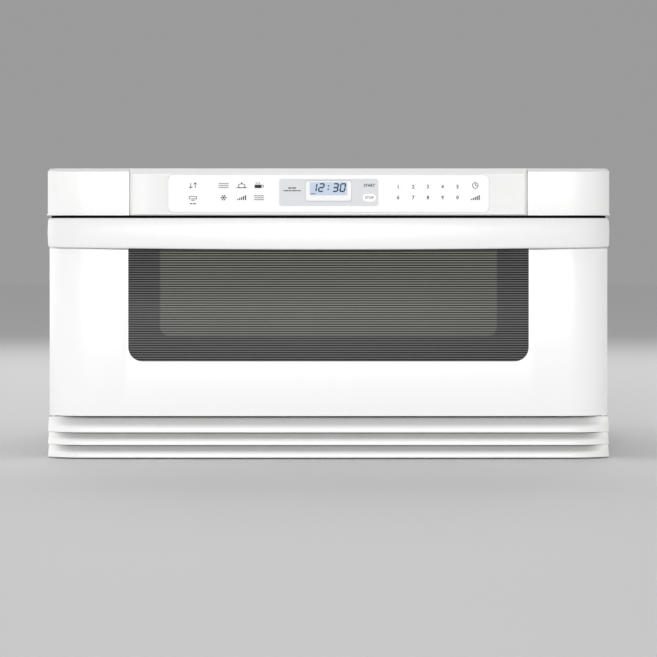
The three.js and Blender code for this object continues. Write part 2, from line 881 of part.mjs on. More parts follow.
const flangeHalf = bodyHalf + flangeOverlap;
const frameBottomZ = sheet + gap;
const lowVents = [-1, 1].flatMap((side) =>
  [0, 1, 2].map((i) => sideBox(side, 20 + i * 100, 104 + i * 100, -3, 1, 12, 48)),
);
const slideSlots = [-1, 1].map((side) =>
  sideBox(
    side,
    slideArmX - armThickness - 3,
    slideOuterX + 2,
    -3,
    1,
    slideCentreZ - slideHeight / 2 - 3,
    slideCentreZ + slideHeight / 2 + 3,
  ),
);
const latchSlots = [-1, 1].map((side) => sideBox(side, latchX - 6, latchX + 6, -3, 1, latchZ - 14, latchZ + 14));
const screwX = flangeHalf - 6;
const screwZ = 250;
const flangeHoles = [-1, 1].map((side) => rod("y", 2.6, -3, 1, [side * screwX, screwZ], 12));
piece(
  "front_frame",
  cut(
    box(-flangeHalf, flangeHalf, frameFaceY, 0, frameBottomZ, frameTopZ),
    box(-bodyHalf - gap, bodyHalf + gap, -flangeStep, 1, 0, bodyHeight + gap),
    box(-cavityHalf, cavityHalf, -3, 1, cavityFloor, cavityCeiling),
    box(-130, 130, -3, 1, stripBottom + 4, frameTopZ - 12),
    ...lowVents,
    ...slideSlots,
    ...latchSlots,
    ...flangeHoles,
  ),
  steel,
);
sides.forEach(([name, side]) => {
  const shank = rod("y", 2.2, -0.4, 12, [0, 0], 12);
  const head = cut(rod("y", 4.6, -2.6, -gap, [0, 0], 16), box(-3.2, 3.2, -3, -1.6, -0.6, 0.6));
  piece(`${name}_flange_screw`, join(head, shank), steel, [side * screwX, frameFaceY, screwZ]);
});

// ---- fixed cavity ----

const cavityOuter = cavityHalf + cavityWall;
const shell = cut(
  box(
    -cavityOuter,
    cavityOuter,
    gap,
    cavityBack + cavityWall,
    cavityFloor - cavityWall,
    cavityCeiling + cavityWall,
  ),
  box(-cavityHalf, cavityHalf, -1, cavityBack, cavityFloor, cavityCeiling),
);
const wellOuter = rod("z", wellRadius + cavityWall, wellUnderside, cavityFloor, [0, antennaY], 40);
const wellInner = rod("z", wellRadius, wellUnderside + cavityWall, cavityFloor + 1, [0, antennaY], 40);
const couplingRadius = 20;
const lampY = 120;
const lampZ = 262;
piece(
  "oven_cavity",
  cut(
    join(shell, wellOuter),
    wellInner,
    rod("z", couplingRadius, wellUnderside - 1, cavityFloor, [0, antennaY], 24),
    rod("x", 11, -cavityOuter - 1, -cavityHalf + 1, [lampY, lampZ], 20),
  ),
  paint,
);

// ---- antenna, waveguide, magnetron ----

const guideHalf = guideWidth / 2;
const guideFront = antennaY - guideRunOn;
const guideBack = magnetronY + 45;
const shaftRadius = 3;
piece(
  "waveguide",
  cut(
    box(-guideHalf, guideHalf, guideFront, guideBack, guideBottom, guideTop),
    box(
      -guideHalf + cavityWall,
      guideHalf - cavityWall,
      guideFront + cavityWall,
      guideBack - cavityWall,
      guideBottom + cavityWall,
      guideTop - cavityWall,
    ),
    rod("z", couplingRadius, guideTop - 2, guideTop + 1, [0, antennaY], 24),
    rod("z", shaftRadius + 1.5, guideBottom - 1, guideBottom + 2, [0, antennaY], 16),
    rod("z", 19, guideTop - 2, guideTop + 1, [0, magnetronY], 24),
  ),
  steel,
);
const antennaZ = wellUnderside + wellDepth * 0.6;
const antenna = cut(
  rod("z", wellRadius - 16, antennaZ, antennaZ + 1.5, [0, 0], 32),
  ...[0, 1, 2].map((i) => {
    const angle = (i * 2 * Math.PI) / 3;
    const geometry = new THREE.BoxGeometry(34, 16, 10).translate(34, 0, antennaZ);
    return solid(geometry.rotateZ(angle));
  }),
);
piece(
  "stirrer_antenna",
  join(antenna, rod("z", shaftRadius, guideBottom - 2, antennaZ + 1, [0, 0], 16)),
  steel,
  [0, antennaY, 0],
);
const motorRadius = 25;
const motorTop = guideBottom - gap;
piece(
  "stirrer_motor",
  cut(
    join(
      rod("z", motorRadius, motorTop - 18, motorTop, [0, 0], 28),
      box(-34, 34, -5, 5, motorTop - 1.5, motorTop),
      box(-8, 8, motorRadius - 4, motorRadius + 8, motorTop - 14, motorTop - 4),
    ),
    rod("z", shaftRadius + gap, motorTop - 6, motorTop + 1, [0, 0], 16),
  ),
  steel,
  [0, antennaY, 0],
);
const magnetronHalf = magnetronWidth / 2;
const magnetronBottom = guideTop + gap;
const fins = [];
for (let i = 0; i < 9; i += 1) {
  const z = magnetronBottom + 12 + i * 6;
  fins.push(box(-magnetronHalf + 4, magnetronHalf - 4, -35, 35, z, z + 1.2));
}
const yokeTop = magnetronBottom + yokeHeight;
piece(
  "magnetron",
  join(
    cut(
      box(-magnetronHalf, magnetronHalf, -36, 36, magnetronBottom, yokeTop),
      box(-magnetronHalf - 1, magnetronHalf + 1, -34, 34, magnetronBottom + 2, yokeTop - 2),
    ),
    rod("z", 19, magnetronBottom, yokeTop, [0, 0], 24),
    ...fins,
    box(-32, 32, -32, 32, yokeTop, yokeTop + 30),
    box(-10, 10, 32, 46, yokeTop + 8, yokeTop + 24),
    rod("z", 15, guideTop - 24, magnetronBottom + 1, [0, 0], 20),
  ),
  steel,
  [0, magnetronY, 0],
);

// ---- cooling ----

const shroudX = -magnetronHalf - 30;
const shroudThickness = 2;
const shroudHalf = fanRadius + 12;
const tipClearance = 3;
piece(
  "fan_shroud",
  cut(
    join(
      box(
        shroudX,
        shroudX + shroudThickness,
        fanY - shroudHalf,
        fanY + shroudHalf,
        sheet + gap,
        fanZ + shroudHalf,
      ),
      box(
        shroudX,
        -magnetronHalf - gap,
        magnetronY - 40,
        magnetronY + 40,
        magnetronBottom,
        yokeTop,
      ),
      box(shroudX - 20, shroudX, fanY - shroudHalf, fanY + shroudHalf, sheet + gap, sheet + gap + 1.5),
    ),
    box(
      shroudX - 1,
      0,
      magnetronY - 38,
      magnetronY + 38,
      magnetronBottom + 2,
      yokeTop - 2,
    ),
    rod("x", fanRadius + tipClearance, shroudX - 5, shroudX + shroudThickness, [fanY, fanZ], 36),
  ),
  plastic,
);
const bladeCount = 5;
const fanDepth = 22;
const blades = [];
for (let i = 0; i < bladeCount; i += 1) {
  const blade = new THREE.BoxGeometry(2, 34, fanRadius - 12);
  blade.rotateZ(0.6).translate(0, 0, (fanRadius + 10) / 2);
  blades.push(solid(blade.rotateX((i * 2 * Math.PI) / bladeCount)));
}
const fanX = shroudX - 14;
const hub = rod("x", 16, -fanDepth / 2, fanDepth / 2, [0, 0], 24);
const fanShaft = rod("x", 2.5, -fanDepth / 2 - 14, 0, [0, 0], 12);
const fanTip = rod("x", fanRadius, -30, 30, [0, 0], 36);
piece(
  "cooling_fan",
  join(hub, fanShaft, ...blades).intersect(fanTip),
  greyPlastic,
  [fanX, fanY, fanZ],
);
const fanMotorX = fanX - fanDepth / 2 - 8;
const motorDepth = 24;
const legHeight = fanZ - 30 - (sheet + gap);
piece(
  "fan_motor",
  cut(
    join(
      box(-motorDepth, 0, -30, 30, -30, 30),
      box(-motorDepth - 10, 8 - motorDepth, -17, 17, -50, -26),
      box(-motorDepth, -motorDepth + 6, -34, 34, -30 - legHeight, -26),
      box(-motorDepth - 24, -motorDepth + 6, -34, 34, -30 - legHeight, -28.5 - legHeight),
    ),
    rod("x", 2.5 + gap, -12, 1, [0, 0], 12),
  ),
  iron,
  [fanMotorX, fanY, fanZ],
);

// ---- high voltage ----

const coreZ = sheet + gap;
const transformerX = 150;
const transformerY = bodyDepth - transformerRear;
const legWidth = 18;
const coreWidth = 96;
const coreHeight = 84;
const coreDepth = 54;
const windowWidth = (coreWidth - 4 * legWidth) / 2;
const coilRoom = coreHeight - 2 * legWidth;
const coreHoles = [-1, 1].map((side) =>
  sideBox(side, legWidth, legWidth + windowWidth, -60, 60, coreZ + legWidth, coreZ + legWidth + coilRoom),
);
piece(
  "transformer_core",
  join(
    cut(
      box(-coreWidth / 2, coreWidth / 2, -coreDepth / 2, coreDepth / 2, coreZ, coreZ + coreHeight),
      ...coreHoles,
    ),
    box(-coreWidth / 2 - 12, coreWidth / 2 + 12, -coreDepth / 2, coreDepth / 2, coreZ, coreZ + 2),
  ),
  iron,
  [transformerX, transformerY, 0],
);
function winding(z0, z1, overhang) {
  const wide = legWidth + windowWidth - gap;
  const deep = coreDepth / 2 + overhang;
  return cut(
    box(-wide, wide, -deep, deep, z0, z1),
    box(-legWidth - gap, legWidth + gap, -coreDepth / 2 - gap, coreDepth / 2 + gap, z0 - 1, z1 + 1),
  );
}
const coilBase = coreZ + legWidth + gap;
const coilSplit = coilBase + coilRoom * 0.45;
const transformerPlace = [transformerX, transformerY, 0];
piece("primary_winding", winding(coilBase, coilSplit, 14), copper, transformerPlace);
piece(
  "secondary_winding",
  winding(coilSplit + gap, coilBase + coilRoom - 2 * gap, 18),
  copper,
  transformerPlace,
);
const capX = 258;
const capY = 500;
const capBottom = coreZ + 2 + gap;
const can = join(
  box(-13, 13, -17, 17, capBottom, capBottom + 92),
  rod("z", 17, capBottom, capBottom + 92, [-13, 0], 24),
  rod("z", 17, capBottom, capBottom + 92, [13, 0], 24),
  box(-14, -10, -3, 3, capBottom + 90, capBottom + 102),
  box(10, 14, -3, 3, capBottom + 90, capBottom + 102),
);
piece("high_voltage_capacitor", can, steel, [capX, capY, 0]);
piece(
  "capacitor_clamp",
  cut(
    join(
      box(-34, 34, -21, 21, coreZ + 24, coreZ + 40),
      box(-34, 34, -24, -20, coreZ, coreZ + 40),
      box(-34, 34, -44, -20, coreZ, coreZ + 2),
    ),
    box(-31, 31, -17.3, 17.3, coreZ + 20, coreZ + 50),
  ),
  steel,
  [capX, capY, 0],
);
piece(
  "rectifier",
  join(
    box(-26, -10, -4, 4, coreZ, coreZ + 2),
    rod("x", 5, -14, 20, [0, coreZ + 6], 14),
    box(18, 34, -1, 1, coreZ + 5, coreZ + 7),
    box(-14, -10, -4, 4, coreZ, coreZ + 6),
  ),
  darkPlastic,
  [capX - 26, capY - 62, 0],
);

// ---- filter board, lamp, thermostat ----

const filterX = 250;
const filterZ = bodyHeight - sheet - gap;
piece(
  "filter_board",
  join(
    box(-50, 50, -35, 35, filterZ - 12, filterZ - 10.4),
    ...[-1, 1].flatMap((sx) =>
      [-1, 1].map((sy) => rod("z", 3, filterZ - 11, filterZ, [sx * 44, sy * 29], 12)),
    ),
    rod("z", 16, filterZ - 36, filterZ - 11, [-22, 0], 20),
    box(6, 34, -10, 12, filterZ - 30, filterZ - 11),
  ),
  boardGreen,
  [filterX, bodyDepth - filterRear, 0],
);
const lampFace = -cavityOuter - gap;
piece(
  "lamp_holder",
  cut(
    box(lampFace - 34, lampFace, lampY - 22, lampY + 22, lampZ - 20, lampZ + 20),
    box(lampFace - 32, lampFace + 1, lampY - 20, lampY + 20, lampZ - 18, lampZ + 18),
    rod("x", 8, lampFace - 35, lampFace - 31, [lampY, lampZ], 20),
  ),
  steel,
);
const bulb = new THREE.LatheGeometry(
  [
    [0, 2],
    [5, 3.5],
    [8.5, 8],
    [8.5, 14],
    [6, 20],
    [6, 24],
    [7, 24.5],
    [7, 38],
    [0, 38],
  ].map(([r, h]) => new THREE.Vector2(r, h)),
  20,
);
bulb.rotateZ(Math.PI / 2);
piece("cavity_lamp", solid(bulb), { ...glassDark, color: 0xf4f0e0 }, [lampFace, lampY, lampZ]);
piece(
  "thermostat",
  join(
    box(-12, 12, 0, 1, -6, 6),
    rod("y", 8, 0.5, 10, [0, 0], 18),
    box(-6, -4, 9, 18, -2, 2),
    box(4, 6, 9, 18, -2, 2),
  ),
  darkPlastic,
  [120, cavityBack + cavityWall + gap, cavityCeiling - 40],
);

export default group;
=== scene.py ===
import json
import math

import bmesh
import bpy
from mathutils import Matrix, Vector

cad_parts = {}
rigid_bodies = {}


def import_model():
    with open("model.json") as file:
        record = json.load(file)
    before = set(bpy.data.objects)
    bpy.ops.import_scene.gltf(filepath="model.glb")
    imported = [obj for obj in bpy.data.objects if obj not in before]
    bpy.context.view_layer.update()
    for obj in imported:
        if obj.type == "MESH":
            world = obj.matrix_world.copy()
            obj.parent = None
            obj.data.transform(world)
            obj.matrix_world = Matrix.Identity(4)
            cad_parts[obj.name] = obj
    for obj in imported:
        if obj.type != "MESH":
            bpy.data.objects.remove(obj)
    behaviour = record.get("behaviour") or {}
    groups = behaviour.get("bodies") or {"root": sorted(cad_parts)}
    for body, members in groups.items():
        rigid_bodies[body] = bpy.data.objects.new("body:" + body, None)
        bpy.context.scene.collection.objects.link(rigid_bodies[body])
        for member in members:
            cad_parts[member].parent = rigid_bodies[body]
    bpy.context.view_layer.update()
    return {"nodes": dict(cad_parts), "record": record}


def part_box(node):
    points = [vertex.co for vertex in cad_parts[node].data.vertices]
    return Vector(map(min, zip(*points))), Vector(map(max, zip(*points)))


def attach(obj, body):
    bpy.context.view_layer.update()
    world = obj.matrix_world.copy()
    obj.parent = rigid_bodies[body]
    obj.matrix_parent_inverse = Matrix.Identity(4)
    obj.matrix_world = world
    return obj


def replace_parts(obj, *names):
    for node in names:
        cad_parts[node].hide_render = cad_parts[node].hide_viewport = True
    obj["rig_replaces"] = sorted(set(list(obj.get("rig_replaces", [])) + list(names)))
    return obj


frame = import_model()
bodyOf = {node: body for body, nodes in frame["record"]["behaviour"]["bodies"].items() for node in nodes}
slotOf = {part["node"]: part["material_slot"] for part in frame["record"]["subparts"]}
mm = 0.001
mergeDistance = 1e-6
sharpAngle = math.radians(32)
flatAngle = math.radians(0.6)
bevelSegments = 2


# Shader maths

class Field:
    def __init__(self, shader, socket):
        self.shader = shader
        self.socket = socket

    def maths(self, operation, *others):
        return self.shader.node("ShaderNodeMath", {"operation": operation}, [self, *others])

    def __add__(self, other):
        return self.maths("ADD", other)

    def __sub__(self, other):
        return self.maths("SUBTRACT", other)

    def __mul__(self, other):
        return self.maths("MULTIPLY", other)

    def __truediv__(self, other):
        return self.maths("DIVIDE", other)

    def __rsub__(self, other):
        return (self * -1) + other

    __radd__ = __add__
    __rmul__ = __mul__

    def limited(self):
        return self.maths("MAXIMUM", 0).maths("MINIMUM", 1)

    # 0 below start, 1 above end, straight between
    def rising(self, start, end):
        return ((self - start) * (1 / (end - start))).limited()

    # A wave between 0 and 1 that repeats every pitch metres
    def waves(self, pitch):
        return (self * (2 * math.pi / pitch)).maths("SINE") * 0.5 + 0.5


class Shader:
    # The colour mix's sockets: factor, first, second, and the result
    mixInputs = (0, 6, 7)
    mixOutput = 2

    def __init__(self, name, **constants):
        self.material = bpy.data.materials.new(name)
        self.material.use_nodes = True
        self.tree = self.material.node_tree
        self.surface = self.tree.nodes["Principled BSDF"]
        for socket, value in constants.items():
            self.surface.inputs[socket.replace("_", " ")].default_value = value
        self.place = self.node("ShaderNodeTexCoord", {}, [], "Object")

    # Any node: its settings first, then its inputs by order or by name
    def node(self, kind, settings, inputs, output=0):
        made = self.tree.nodes.new(kind)
        for key, value in settings.items():
            setattr(made, key, value)
        pairs = inputs.items() if isinstance(inputs, dict) else enumerate(inputs)
        for key, value in pairs:
            if isinstance(value, Field):
                self.tree.links.new(value.socket, made.inputs[key])
            else:
                made.inputs[key].default_value = value
        return Field(self, made.outputs[output])

    def axes(self):
        split = self.tree.nodes.new("ShaderNodeSeparateXYZ")
        self.tree.links.new(self.place.socket, split.inputs[0])
        return [Field(self, socket) for socket in split.outputs]

    def noise(self, scale, detail=3, stretch=None):
        place = self.place
        if stretch:
            place = self.node("ShaderNodeMapping", {}, {"Vector": place, "Scale": stretch})
        return self.node("ShaderNodeTexNoise", {}, {"Vector": place, "Scale": scale, "Detail": detail})

    def cells(self, scale, output="Distance"):
        return self.node("ShaderNodeTexVoronoi", {}, {"Vector": self.place, "Scale": scale}, output)

    def mix(self, factor, first, second):
        inputs = dict(zip(self.mixInputs, (factor, first, second)))
        return self.node("ShaderNodeMix", {"data_type": "RGBA"}, inputs, self.mixOutput)

    def feed(self, socket, field):
        self.tree.links.new(field.socket, self.surface.inputs[socket])

    def colour(self, factor, first, second):
        self.feed("Base Color", self.mix(factor, first, second))

    def bump(self, height, strength, distance):
        inputs = {"Strength": strength, "Distance": distance, "Height": height}
        self.feed("Normal", self.node("ShaderNodeBump", {}, inputs))


# A colour from a tone and what each channel takes of it
def shade(tone, red=1, green=1, blue=1):
    return (tone * red, tone * green, tone * blue, 1)


def scaled(colour, factor):
    return (*(c * factor for c in colour[:3]), 1)


# Distance to a rounded rectangle in the XZ plane, in metres, negative inside
def roundedRectangle(shader, centre, half, corner):
    x, _, z = shader.axes()
    sideways = (x - centre[0]).maths("ABSOLUTE") - (half[0] - corner)
    upwards = (z - centre[1]).maths("ABSOLUTE") - (half[1] - corner)
    outX = sideways.maths("MAXIMUM", 0)
    outZ = upwards.maths("MAXIMUM", 0)
    inside = sideways.maths("MAXIMUM", upwards).maths("MINIMUM", 0)
    return (outX * outX + outZ * outZ).maths("SQRT") + inside - corner


# Materials

# Smooth paint on steel: a faint orange peel, small changes of gloss and tone
def paintedWhite(name, tone=0.88, peel=0.06, roughness=0.36):
    made = Shader(name, Coat_Weight=0.12, Coat_Roughness=0.22, IOR=1.5)
    cloud = made.noise(scale=9, detail=4)
    fine = made.noise(scale=900, detail=2)
    made.colour(cloud, shade(tone, blue=0.995), shade(tone, 0.975, 0.98, 0.98))
    made.feed("Roughness", cloud * 0.06 + fine * 0.05 + (roughness - 0.05))
    made.bump(fine + made.noise(scale=220, detail=2) * 0.6, strength=peel, distance=0.0002)
    return made.material


# Moulded plastic with a fine grain
def mouldedWhite(name, tone=0.87, roughness=0.4):
    made = Shader(name, Coat_Weight=0.06, Coat_Roughness=0.25, IOR=1.48)
    cloud = made.noise(scale=7)
    grain = made.cells(scale=1500)
    made.colour(cloud, shade(tone, blue=0.992), shade(tone, 0.97, 0.972, 0.965))
    made.feed("Roughness", cloud * 0.08 + grain * 0.08 + (roughness - 0.06))
    made.bump(grain + made.noise(scale=3000, detail=2) * 0.5, strength=0.05, distance=0.0001)
    return made.material


def mouldedPlastic(name, colour, roughness=0.45):
    made = Shader(name, IOR=1.48)
    cloud = made.noise(scale=12)
    grain = made.cells(scale=1800)
    made.colour(cloud, colour, scaled(colour, 0.82))
    made.feed("Roughness", cloud * 0.12 + grain * 0.1 + (roughness - 0.08))
    made.bump(grain, strength=0.12, distance=0.0001)
    return made.material


# Zinc-coated sheet: spangles of slightly different brightness under a rolled grain
def zincSheet(name, tone=0.46):
    made = Shader(name, Metallic=1.0)
    spangle = made.node("ShaderNodeSeparateColor", {}, [made.cells(scale=130, output="Color")])
    rolled = made.noise(scale=240, stretch=(1, 0.04, 1))
    made.colour(spangle * 0.5 + rolled * 0.3, shade(tone * 0.93), shade(tone * 1.09))
    made.feed("Roughness", spangle * 0.14 + rolled * 0.12 + 0.26)
    made.bump(rolled + spangle * 0.3, strength=0.05, distance=0.0002)
    return made.material


def rolledSteel(name, tone, roughness=0.24):
    made = Shader(name, Metallic=1.0)
    drawn = made.noise(scale=420, detail=4, stretch=(1, 0.02, 1))
    smear = made.noise(scale=30)
    made.colour(smear, shade(tone, blue=1.01), shade(tone, 0.8, 0.8, 0.78))
    made.feed("Roughness", drawn * 0.16 + smear * 0.1 + (roughness - 0.08))
    made.bump(drawn, strength=0.08, distance=0.0002)
    return made.material


# Dark glass with fine printed lines across it, clearer in the middle
def stripedGlass(name, values):
    made = Shader(name, IOR=1.22)
    _, _, z = made.axes()
    viewCentre = (0, (values["viewBottom"] + values["viewTop"]) / 2)
    viewHalf = (values["viewHalf"], (values["viewTop"] - values["viewBottom"]) / 2)
    edge = roundedRectangle(made, viewCentre, viewHalf, values["viewCorner"])
    clear = 1 - edge.rising(-values["viewBlur"], values["viewBlur"])
    line = (z - values["lineStart"]).waves(values["linePitch"]).rising(values["lineFrom"], values["lineTo"])
    inside = made.mix(line, values["clearDark"], values["clearLight"])
    border = made.mix(line, values["borderDark"], values["borderLight"])
    made.colour(clear, border, inside)
    made.feed("Roughness", made.noise(scale=14) * 0.02 + line * 0.02 + 0.03)
    made.bump(line, strength=0.04, distance=0.0001)
    return made.material


# Smooth glass ceramic with a faint speckle
def glassCeramic(name):
    made = Shader(name, Coat_Weight=0.4, Coat_Roughness=0.05, IOR=1.52)
    cloud = made.noise(scale=6)
    fleck = 1 - made.cells(scale=620).rising(0.06, 0.16)
    base = made.mix(cloud, (0.72, 0.71, 0.67, 1), (0.66, 0.655, 0.62, 1))
    made.colour(fleck * 0.5, base, (0.45, 0.44, 0.42, 1))
    made.feed("Roughness", cloud * 0.06 + 0.12)
    made.bump(made.noise(scale=500, detail=2), strength=0.03, distance=0.0002)
    return made.material


# A thin sheet full of small holes, seen as dark dots
def holedScreen(name, pitch=0.0028, hole=0.0009):
    made = Shader(name)
    x, _, z = made.axes()
    row = (z / pitch).maths("FLOOR")
    shift = (row * 0.5).maths("FRACT")
    across = ((x / pitch) + shift).maths("FRACT") - 0.5
    up = (z / pitch).maths("FRACT") - 0.5
    away = (across * across + up * up).maths("SQRT")
    dark = 1 - away.rising(hole / pitch * 0.85, hole / pitch * 1.15)
    made.colour(dark, (0.38, 0.38, 0.36, 1), shade(0.015))
    made.feed("Roughness", made.noise(scale=40) * 0.2 + 0.35)
    made.bump(1 - dark, strength=0.3, distance=0.0003)
    return made.material


def clearSheet(name, colour, alpha):
    made = Shader(name, IOR=1.5, Coat_Weight=0.5, Coat_Roughness=0.03)
    cloud = made.noise(scale=12)
    made.colour(cloud, colour, scaled(colour, 0.9))
    made.feed("Roughness", cloud * 0.06 + 0.08)
    made.feed("Alpha", cloud * 0.06 + (alpha - 0.03))
    return made.material


# Green board with lighter tracks and solder points
def circuitBoard(name):
    made = Shader(name, IOR=1.5)
    track = (made.noise(scale=90, detail=1) * 9).maths("FRACT").rising(0.42, 0.5)
    pad = 1 - made.cells(scale=240).rising(0.18, 0.24)
    base = made.mix(track, (0.02, 0.11, 0.055, 1), (0.035, 0.19, 0.09, 1))
    made.colour(pad, base, (0.55, 0.53, 0.48, 1))
    made.feed("Metallic", pad * 0.9)
    made.feed("Roughness", 0.5 - pad * 0.2 + made.noise(scale=60, detail=2) * 0.08)
    made.bump(pad + track * 0.3, strength=0.25, distance=0.0003)
    return made.material


def woundCopper(name, wire=0.0014):
    made = Shader(name, Metallic=0.85, Coat_Weight=0.6, Coat_Roughness=0.12)
    _, _, z = made.axes()
    turns = z.waves(wire)
    blotch = made.noise(scale=60)
    made.colour(blotch * 0.6 + turns * 0.4, (0.24, 0.085, 0.03, 1), (0.5, 0.2, 0.075, 1))
    made.feed("Roughness", blotch * 0.15 + 0.28)
    made.bump(turns, strength=0.6, distance=0.0004)
    return made.material


def stackedIron(name, sheet=0.001):
    made = Shader(name, Metallic=0.6)
    _, y, _ = made.axes()
    sheets = y.waves(sheet)
    rust = made.noise(scale=45, detail=4)
    made.colour(rust.rising(0.45, 0.8), shade(0.055), (0.09, 0.055, 0.035, 1))
    made.feed("Roughness", sheets * 0.15 + rust * 0.2 + 0.42)
    made.bump(sheets, strength=0.4, distance=0.0003)
    return made.material


# Matt ink or rubber, with next to no shine
def mattInk(name, colour, roughness=0.8):
    made = Shader(name, IOR=1.2)
    made.colour(made.noise(scale=500, detail=2), colour, scaled(colour, 1.25))
    made.feed("Roughness", made.noise(scale=300, detail=2) * 0.1 + (roughness - 0.05))
    return made.material


# The display lens: a white printed border round a clear opening
def borderedLens(name, values):
    made = Shader(name, IOR=1.3)
    edge = roundedRectangle(made, values["centre"], values["half"], values["corner"])
    made.colour(edge.rising(-values["blur"], values["blur"]), (0.55, 0.64, 0.76, 1), shade(0.88))
    made.feed("Roughness", made.noise(scale=40, detail=2) * 0.02 + 0.03)
    return made.material


# Printed overlay: white, with a grey panel round the display
def printedOverlay(name, values):
    made = Shader(name, IOR=1.4)
    edge = roundedRectangle(made, values["centre"], values["half"], values["corner"])
    panel = 1 - edge.rising(-values["blur"], values["blur"])
    weave = made.noise(scale=1400, detail=2)
    made.colour(panel, shade(0.92), (0.665, 0.675, 0.695, 1))
    made.feed("Roughness", weave * 0.1 + 0.55)
    made.bump(weave, strength=0.05, distance=0.0001)
    return made.material


glassLook = {
    "viewHalf": 0.227,
    "viewBottom": 0.1657,
    "viewTop": 0.3,
    "viewCorner": 0.013,
    "viewBlur": 0.0012,
    "linePitch": 0.00318,
    "lineStart": 0.1317,
    "lineFrom": 0.25,
    "lineTo": 0.75,
    "clearDark": (0.008, 0.008, 0.007, 1),
    "clearLight": (0.195, 0.195, 0.175, 1),
    "borderDark": (0.004, 0.004, 0.004, 1),
    "borderLight": (0.115, 0.115, 0.118, 1),
}
overlayLook = {"centre": (0.0003, 0.35945), "half": (0.0669, 0.01845), "corner": 0.004, "blur": 0.00025}
lensLook = {"centre": (0.0, 0.36455), "half": (0.0254, 0.00905), "corner": 0.0008, "blur": 0.0003}

print("materials")
materials = {
    "white_paint": paintedWhite("whitePaint"),
    "bin_paint": paintedWhite("binPaint", tone=0.66, peel=0.09, roughness=0.34),
    "white_plastic": mouldedWhite("whitePlastic"),
    "membrane": printedOverlay("printedOverlay", overlayLook),
    "window_glass": stripedGlass("stripedGlass", glassLook),
    "inner_glass": clearSheet("innerGlass", (0.3, 0.3, 0.28, 1), alpha=0.5),
    "display_lens": borderedLens("borderedLens", lensLook),
    "lcd": clearSheet("liquidCrystal", (0.6, 0.7, 0.85, 1), alpha=1.0),
    "ceramic_floor": glassCeramic("glassCeramic"),
    "choke_plastic": mouldedPlastic("chokePlastic", (0.3, 0.305, 0.31, 1)),
    "screen_steel": holedScreen("holedScreen"),
    "sheet_steel": zincSheet("zincSheet"),
    "slide_steel": rolledSteel("slideSteel", tone=0.6),
    "screw_steel": rolledSteel("screwSteel", tone=0.5, roughness=0.3),
    "magnetron_metal": rolledSteel("magnetronMetal", tone=0.66, roughness=0.34),
    "motor_metal": rolledSteel("motorMetal", tone=0.42, roughness=0.36),
    "core_iron": stackedIron("coreIron"),
    "winding_copper": woundCopper("windingCopper"),
    "capacitor_can": rolledSteel("capacitorCan", tone=0.7, roughness=0.28),
    "latch_plastic": mouldedPlastic("latchPlastic", (0.72, 0.72, 0.68, 1)),
    "dark_plastic": mouldedPlastic("darkPlastic", (0.022, 0.022, 0.024, 1)),
    "fan_plastic": mouldedPlastic("fanPlastic", (0.2, 0.21, 0.23, 1)),
    "circuit_board": circuitBoard("circuitBoard"),
    "lamp_glass": clearSheet("lampGlass", (0.85, 0.83, 0.75, 1), alpha=0.5),
}
ink = mattInk("printInk", (0.035, 0.04, 0.05, 1))
whiteInk = mattInk("whiteInk", shade(0.9))
faintInk = mattInk("faintInk", (0.62, 0.63, 0.66, 1))
segmentInk = mattInk("segmentInk", (0.035, 0.05, 0.11, 1))
# Near-black ink for the strip in the drawer's top gap: painted shade for the shadow there
paintedGapShade = mattInk("paintedGapShade", shade(0.004), roughness=0.9)
# A darker copy of the white paint for the handle: painted shade, for the greyer handle ends
shadedHandlePaint = paintedWhite("shadedHandlePaint", tone=0.81)
bezelPlastic = mouldedWhite("bezelPlastic", tone=0.82, roughness=0.6)


# Making pieces

def linked(name, data):
    made = bpy.data.objects.new(name, data)
    bpy.context.scene.collection.objects.link(made)
    return made


# Turns a bmesh into an object of the scene
def build(name, bm):
    mesh = bpy.data.meshes.new(name)
    bm.to_mesh(mesh)
    bm.free()
    return linked(name, mesh)


def place(name, bm, body, slot, replaced=(), material=None):
    made = build(name, bm)
    made.data.materials.append(material or materials[slot])
    smooth(made.data)
    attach(made, body)
    if replaced:
        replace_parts(made, *replaced)
    return made


def smooth(mesh):
    mesh.polygons.foreach_set("use_smooth", [True] * len(mesh.polygons))
    mesh.set_sharp_from_angle(angle=sharpAngle)


def evaluatedMesh(made):
    return bpy.data.meshes.new_from_object(made.evaluated_get(bpy.context.evaluated_depsgraph_get()))


# Runs an object's modifiers and keeps the result as its mesh
def apply(made):
    mesh = evaluatedMesh(made)
    made.modifiers.clear()
    made.data = mesh


def softenEdges(made, width):
    bevel = made.modifiers.new("edges", "BEVEL")
    bevel.width = width
    bevel.segments = bevelSegments
    bevel.limit_method = "ANGLE"
    bevel.angle_limit = sharpAngle
    bevel.harden_normals = True
    bevel.use_clamp_overlap = True
    apply(made)


def boxIn(bm, low, high):
    size = [high[i] - low[i] for i in range(3)]
    middle = Vector([(high[i] + low[i]) / 2 for i in range(3)])
    matrix = Matrix.Translation(middle) @ Matrix.Diagonal((*size, 1))
    bmesh.ops.create_cube(bm, size=1, matrix=matrix)


# A CAD node's own shape, with its triangles merged and its edges eased
def refine(node, edge, material=None, change=None):
    bm = bmesh.new()
    bm.from_mesh(frame["nodes"][node].data)
    bmesh.ops.remove_doubles(bm, verts=bm.verts, dist=mergeDistance)
    bmesh.ops.dissolve_limit(bm, angle_limit=flatAngle, verts=bm.verts, edges=bm.edges)
    if change:
        change(bm)
    made = place(node + "_finished", bm, bodyOf[node], slotOf[node], [node], material)
    softenEdges(made, edge)


# The face in plan

face = {
    "half": 0.38,
    "front": -0.05,
    "crown": 0.0015,
    "cornerRadius": 0.075,
    "cornerTurn": math.radians(45),
    "bowSteps": 14,
    "cornerSteps": 12,
}
faceFlat = face["half"] - face["cornerRadius"] * math.sin(face["cornerTurn"])


